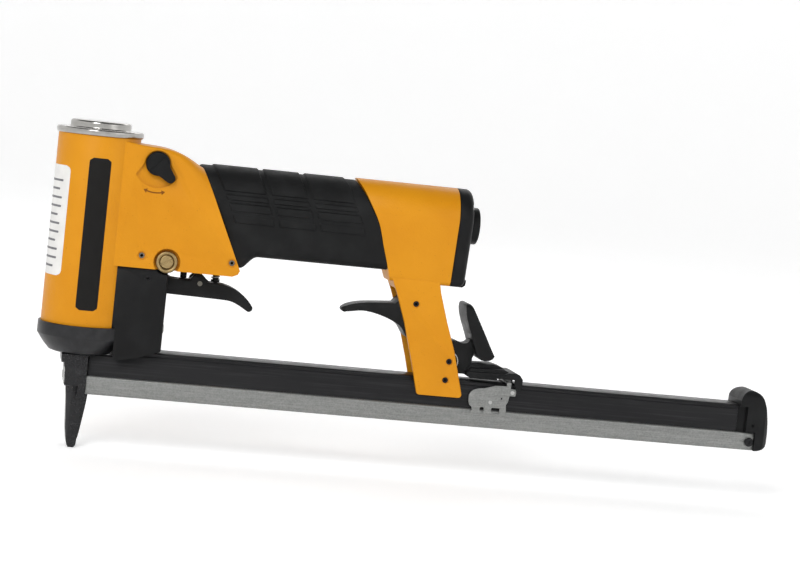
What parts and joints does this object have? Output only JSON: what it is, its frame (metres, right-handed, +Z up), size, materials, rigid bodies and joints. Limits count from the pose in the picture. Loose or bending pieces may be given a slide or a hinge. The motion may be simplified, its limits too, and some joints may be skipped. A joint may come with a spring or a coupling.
{
  "type": "pneumatic upholstery stapler",
  "caption": "Handheld air-powered upholstery stapler with a long straight magazine under a yellow cast body, a rubber grip and a latch that lets the magazine slide back.",
  "frame": {"origin": "centre of the nose tip's working face, where the staple leaves", "axes": "+Z up along the drive axis to the tube's cap, +X back along the magazine to its end cap, -Y the side with the selector knob"},
  "size_m": [0.3971, 0.045, 0.1694],
  "materials": {
    "yellow_coat": "warm yellow powder coat with fine orange peel",
    "black_rubber": "moulded matte rubber",
    "black_plastic": "moulded glass-filled plastic, satin",
    "black_metal": "satin black coated steel",
    "black_cast": "black coated casting",
    "galvanised": "dull galvanised sheet",
    "chrome": "polished chrome",
    "steel": "machined steel",
    "brass": "turned brass",
    "aluminium": "machined aluminium",
    "urethane": "amber polyurethane",
    "seal": "nitrile rubber",
    "felt": "sintered felt"
  },
  "bodies": {
    "frame": {"main_body": "yellow_coat", "grip_sleeve": "black_rubber", "rear_cap": "black_plastic", "rear_gasket": "seal", "rear_cap_screws": "steel", "inlet_bushing": "steel", "inlet_filter": "brass", "top_cap": "chrome", "muffler": "felt", "muffler_plate": "aluminium", "nose_base": "black_cast", "cylinder_sleeve": "aluminium", "sleeve_seal": "seal", "bumper": "urethane", "head_valve_spring": "steel", "regulator_sleeve": "brass", "front_housing": "black_plastic", "housing_screw": "steel", "trigger_spring": "steel", "trigger_pin": "black_metal", "lever_pivot_pin": "black_metal", "latch_pivot_pin": "black_metal", "rail_anchor_pin": "black_metal", "body_pins": "steel", "valve_bushing": "brass", "valve_spring": "steel", "timer_bushing": "brass", "timer_spring": "steel", "drive_plate": "black_metal", "guide_plate": "black_metal", "nose_screws": "steel", "magazine_rail": "black_metal", "latch_spring": "steel"},
    "driver": {"piston": "aluminium", "piston_ring": "seal", "driver_blade": "steel"},
    "head_valve": {"head_valve": "aluminium", "head_valve_seal": "seal"},
    "selector": {"selector_knob": "black_plastic", "selector_spindle": "steel", "selector_seal": "seal"},
    "regulator": {"regulator_screw": "brass"},
    "trigger": {"trigger": "black_plastic", "rocker_pin": "steel"},
    "rocker": {"rocker": "black_metal"},
    "main_valve": {"valve_stem": "black_plastic"},
    "timer_valve": {"timer_plunger": "black_plastic"},
    "magazine_slide": {"magazine_channel": "galvanised", "staple_core": "galvanised", "pusher_rod": "steel", "pusher_spring": "steel", "catch_plate": "galvanised", "catch_pins": "steel", "magazine_cap": "black_plastic", "cap_screws": "black_metal"},
    "pusher": {"pusher": "black_metal"},
    "finger_lever": {"finger_lever": "black_plastic"},
    "latch_lever": {"latch_lever": "black_plastic"}
  },
  "joints": [
    {"name": "trigger_pull", "type": "hinge", "parent": "frame", "child": "trigger", "pos_m": [0.0305, 0, 0.0919], "axis": [0, -1, 0], "range_deg": [0, 5], "stiffness_Nm_per_rad": 0.6, "springref_deg": -2.86, "deforming": ["trigger_spring"]},
    {"name": "rocker_tilt", "type": "hinge", "parent": "trigger", "child": "rocker", "pos_m": [0.0584, 0, 0.0909], "axis": [0, -1, 0], "range_deg": [-5, 0]},
    {"name": "main_valve_lift", "type": "slide", "parent": "frame", "child": "main_valve", "axis": [0, 0, 1], "range_m": [0, 0.0025], "deforming": ["valve_spring"]},
    {"name": "timer_valve_lift", "type": "slide", "parent": "frame", "child": "timer_valve", "axis": [0, 0, 1], "range_m": [0, 0.0025], "deforming": ["timer_spring"]},
    {"name": "driver_stroke", "type": "slide", "parent": "frame", "child": "driver", "axis": [0, 0, -1], "range_m": [0, 0.0469]},
    {"name": "head_valve_lift", "type": "slide", "parent": "frame", "child": "head_valve", "axis": [0, 0, 1], "range_m": [0, 0.003], "stiffness_N_per_m": 2000, "springref_m": -0.002, "deforming": ["head_valve_spring"]},
    {"name": "selector_turn", "type": "hinge", "parent": "frame", "child": "selector", "pos_m": [0.0297, -0.016, 0.1511], "axis": [0, 1, 0], "range_deg": [0, 90]},
    {"name": "regulator_turn", "type": "hinge", "parent": "frame", "child": "regulator", "pos_m": [0.0392, -0.013, 0.1013], "axis": [0, -1, 0], "continuous": true},
    {"name": "latch_swing", "type": "hinge", "parent": "frame", "child": "latch_lever", "pos_m": [0.1937, 0, 0.0623], "axis": [0, -1, 0], "range_deg": [0, 5], "stiffness_Nm_per_rad": 1.2, "springref_deg": -4.58, "deforming": ["latch_spring"]},
    {"name": "finger_lever_swing", "type": "hinge", "parent": "frame", "child": "finger_lever", "pos_m": [0.1727, 0, 0.0912], "axis": [0, 1, 0], "range_deg": [0, 4.51]},
    {"name": "magazine_open", "type": "slide", "parent": "frame", "child": "magazine_slide", "axis": [1, 0, 0], "range_m": [0, 0.28]},
    {"name": "pusher_travel", "type": "slide", "parent": "magazine_slide", "child": "pusher", "axis": [1, 0, 0], "range_m": [0, 0.27], "stiffness_N_per_m": 6, "springref_m": -0.2, "deforming": ["pusher_spring"]}
  ],
  "couplings": [
    {"joint": "rocker_tilt", "follows": "trigger_pull", "ratio": -1},
    {"joint": "main_valve_lift", "follows": "trigger_pull", "m_per_rad": 0.0279},
    {"joint": "timer_valve_lift", "follows": "trigger_pull", "m_per_rad": 0.0279},
    {"joint": "finger_lever_swing", "follows": "latch_swing", "ratio": 0.9}
  ]
}
